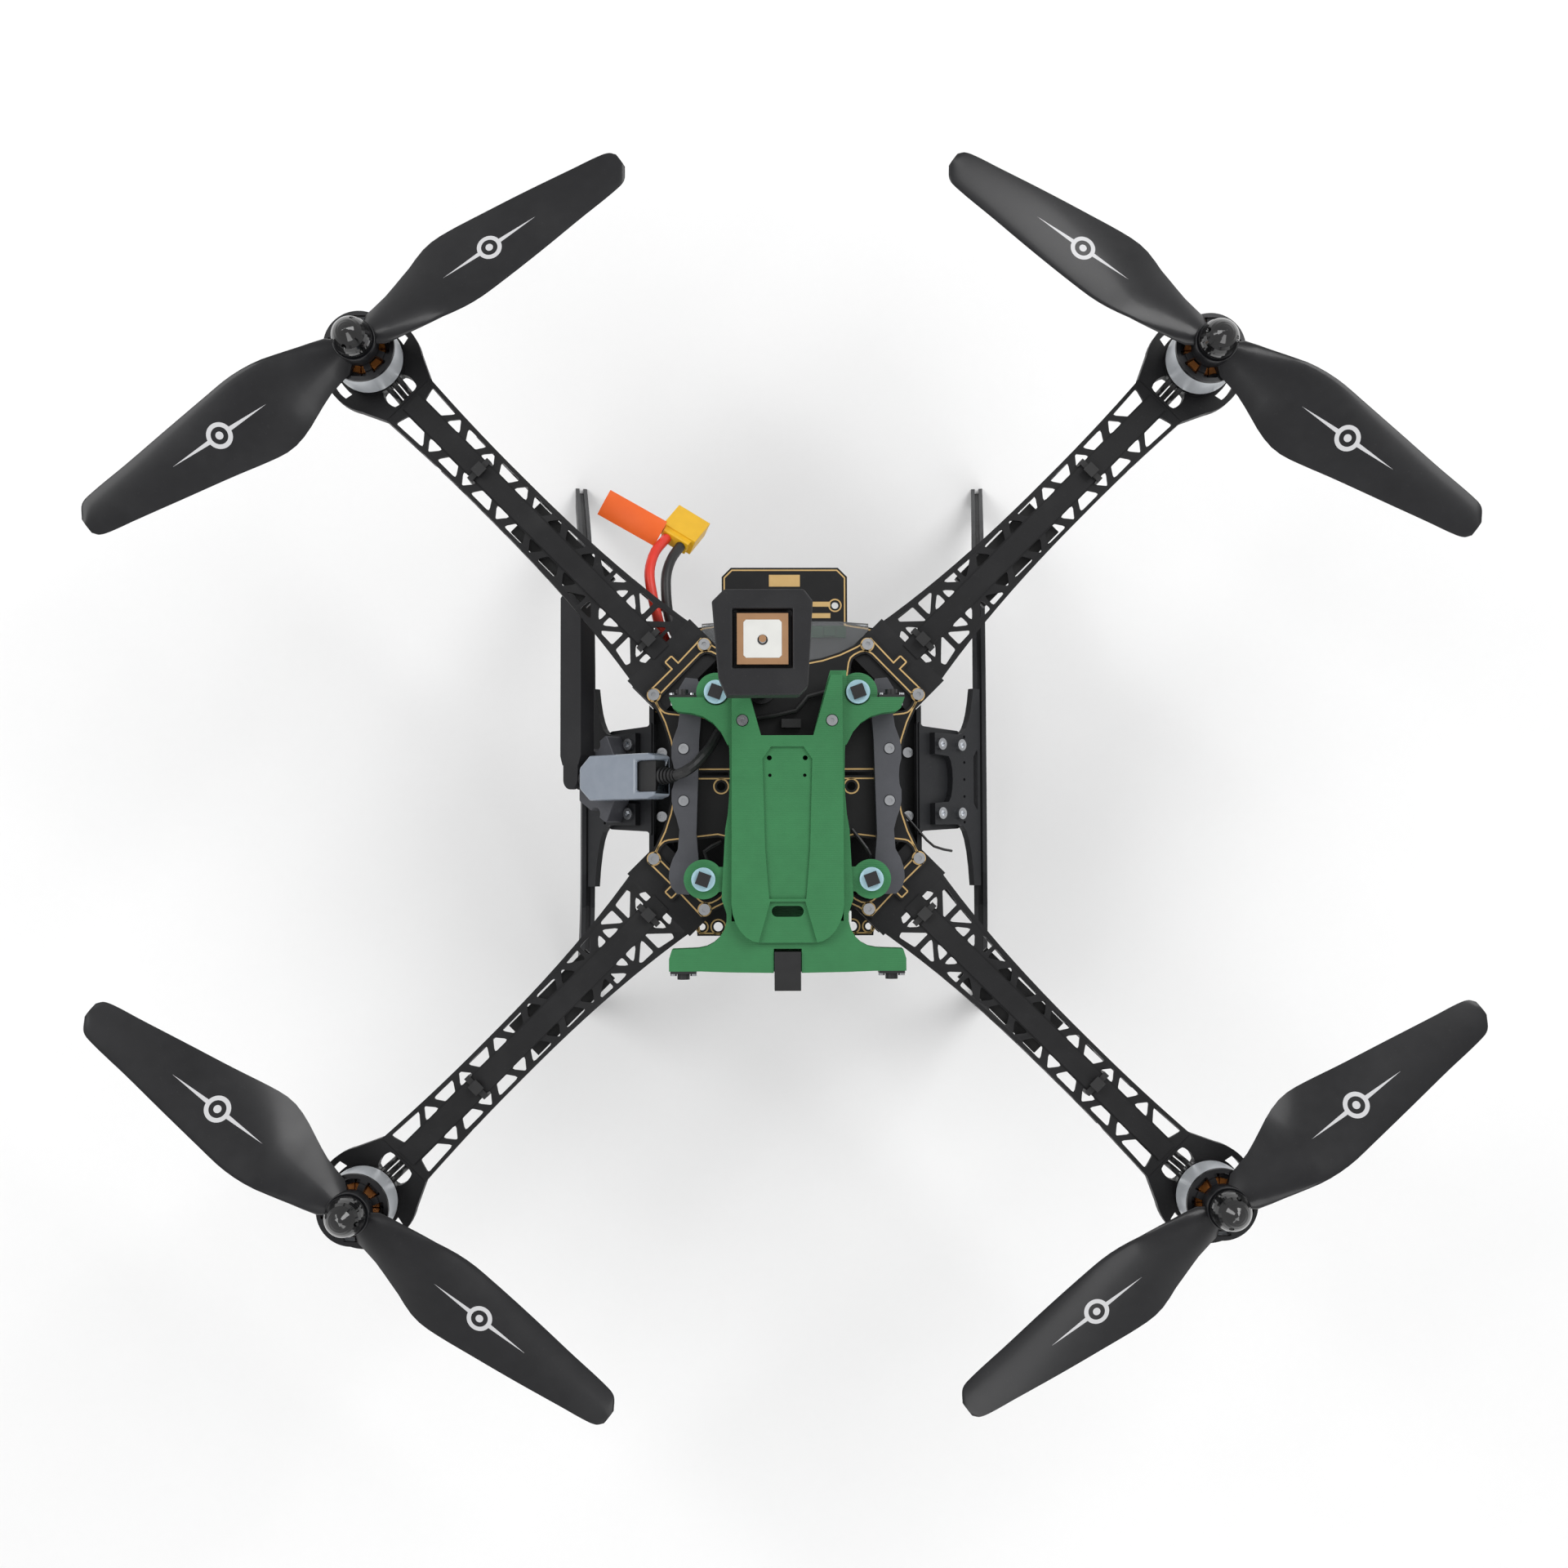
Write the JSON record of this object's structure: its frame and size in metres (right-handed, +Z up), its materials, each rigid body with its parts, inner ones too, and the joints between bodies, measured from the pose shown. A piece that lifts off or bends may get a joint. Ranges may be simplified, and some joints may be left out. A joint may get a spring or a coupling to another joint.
{
  "type": "quadcopter drone",
  "caption": "Quadcopter with an X-shaped frame, printed camera deck, arched landing legs, satellite receiver on a mast and a tilting side antenna.",
  "frame": {"origin": "middle of the footprint, on the ground under the feet", "axes": "+Z up; -Y is the nose, +Y the tail, -X the drone's right side"},
  "size_m": [0.5504, 0.498, 0.282],
  "materials": {
    "board_black": "satin circuit-board plate with gold tracks",
    "arm_black": "textured moulded nylon",
    "steel": "bright stainless steel",
    "gear_grey": "matt moulded nylon",
    "motor_black": "black anodised",
    "motor_silver": "satin",
    "stator": "coated laminations",
    "copper": "enamelled copper wire",
    "blade_black": "satin moulded nylon",
    "nut_black": "gloss black",
    "wire_black": "satin",
    "wire_blue": "satin",
    "clear_sleeve": "clear heat-shrunk sleeve over a green board",
    "wire_red": "satin silicone",
    "connector_yellow": "satin nylon",
    "flag_orange": "plain label film",
    "print_green": "printed plastic with fine layer lines",
    "circuit_green": "circuit board",
    "damper_blue": "soft silicone",
    "plug_black": "satin",
    "rail_grey": "printed plastic",
    "lens_glass": "coated lens",
    "case_black": "fine-grained moulded plastic",
    "ceramic_brown": "ceramic with a silvered centre",
    "radio_grey": "translucent blue-grey moulding"
  },
  "bodies": {
    "airframe": {"bottom_plate": "board_black", "top_plate": "board_black", "arm_rear_right": "arm_black", "arm_rear_left": "arm_black", "arm_front_right": "arm_black", "arm_front_left": "arm_black", "frame_screws": "steel", "gear_bracket_right": "gear_grey", "gear_bracket_left": "gear_grey", "leg_right": "gear_grey", "leg_left": "gear_grey", "motor_bases": "motor_black", "motor_stators": "stator", "motor_windings": "copper", "motor_bearings": "steel", "motor_screws": "steel", "speed_controllers": "wire_black", "motor_wires": "wire_blue", "cable_ties": "wire_black", "power_module": "clear_sleeve", "receiver": "wire_black", "lead_red": "wire_red", "lead_black": "wire_black", "lead_connector": "connector_yellow", "lead_flag": "flag_orange", "deck_tray": "print_green", "deck_cover": "print_green", "deck_screws": "steel", "flight_board": "circuit_green", "deck_wires": "wire_black", "damper_bushes": "damper_blue", "damper_plugs": "plug_black", "deck_rails": "rail_grey", "main_camera": "plug_black", "camera_lens": "lens_glass", "stereo_cameras": "plug_black", "gps_mast": "case_black", "gps_case": "case_black", "gps_patch": "ceramic_brown", "dongle_cradle": "rail_grey", "wifi_dongle": "radio_grey", "usb_lead": "wire_black", "antenna_knuckle": "case_black"},
    "rotor_rear_right": {"motor_bell_rear_right": "motor_black", "motor_ring_rear_right": "motor_silver", "propeller_rear_right": "blade_black", "prop_nut_rear_right": "nut_black"},
    "rotor_rear_left": {"motor_bell_rear_left": "motor_black", "motor_ring_rear_left": "motor_silver", "propeller_rear_left": "blade_black", "prop_nut_rear_left": "nut_black"},
    "rotor_front_right": {"motor_bell_front_right": "motor_black", "motor_ring_front_right": "motor_silver", "propeller_front_right": "blade_black", "prop_nut_front_right": "nut_black"},
    "rotor_front_left": {"motor_bell_front_left": "motor_black", "motor_ring_front_left": "motor_silver", "propeller_front_left": "blade_black", "prop_nut_front_left": "nut_black"},
    "antenna": {"antenna_paddle": "case_black"}
  },
  "joints": [
    {"name": "spin_rear_right", "type": "hinge", "parent": "airframe", "child": "rotor_rear_right", "pos_m": [-0.16971, 0.16971, 0.2], "axis": [0, 0, 1], "continuous": true},
    {"name": "spin_rear_left", "type": "hinge", "parent": "airframe", "child": "rotor_rear_left", "pos_m": [0.16971, 0.16971, 0.2], "axis": [0, 0, 1], "continuous": true},
    {"name": "spin_front_right", "type": "hinge", "parent": "airframe", "child": "rotor_front_right", "pos_m": [-0.16971, -0.16971, 0.2], "axis": [0, 0, 1], "continuous": true},
    {"name": "spin_front_left", "type": "hinge", "parent": "airframe", "child": "rotor_front_left", "pos_m": [0.16971, -0.16971, 0.2], "axis": [0, 0, 1], "continuous": true},
    {"name": "antenna_tilt", "type": "hinge", "parent": "airframe", "child": "antenna", "pos_m": [-0.08903, 0, 0.14722], "axis": [-0.6428, 0, 0.766], "range_deg": [0, 90]}
  ]
}
